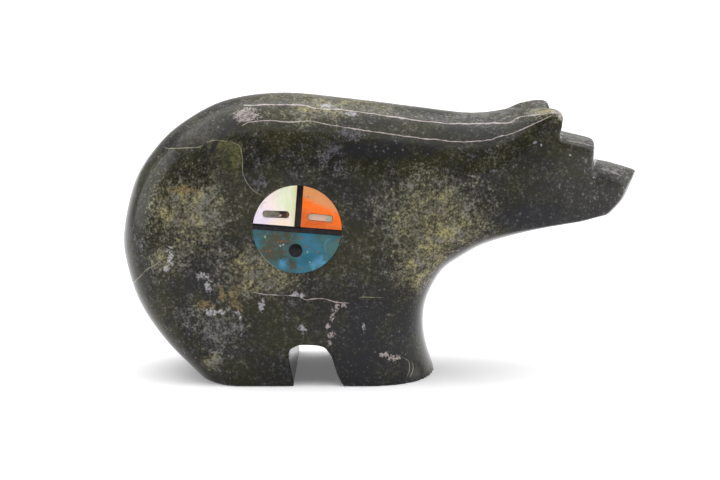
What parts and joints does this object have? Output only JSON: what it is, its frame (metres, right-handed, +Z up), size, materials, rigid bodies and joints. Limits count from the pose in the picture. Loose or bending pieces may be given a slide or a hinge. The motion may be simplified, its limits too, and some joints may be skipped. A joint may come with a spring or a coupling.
{
  "type": "carved stone bear with an inlaid sun-face disc",
  "caption": "Polished serpentine carving of a standing bear, its head cut in flat steps, with a round sun-face inlay of shell, turquoise and jet in its right flank.",
  "frame": {"origin": "centre of the bounding box in plan, on the plane that the feet stand on", "axes": "+X towards the bear's nose, +Z up, -Y out of the inlaid flank, which is the bear's right side"},
  "size_m": [0.1201, 0.035, 0.0659],
  "materials": {
    "serpentine": "gloss",
    "mother_of_pearl": "gloss",
    "orange_shell": "gloss",
    "turquoise": "gloss",
    "jet": "gloss",
    "dark_shell": "gloss",
    "pale_shell": "gloss"
  },
  "bodies": {
    "root": {"bear_body": "serpentine", "pearl_quarter": "mother_of_pearl", "orange_quarter": "orange_shell", "turquoise_half": "turquoise", "jet_bar_across": "jet", "jet_bar_upright": "jet", "jet_mouth": "jet", "dark_eye": "dark_shell", "pale_eye": "pale_shell"}
  },
  "joints": []
}
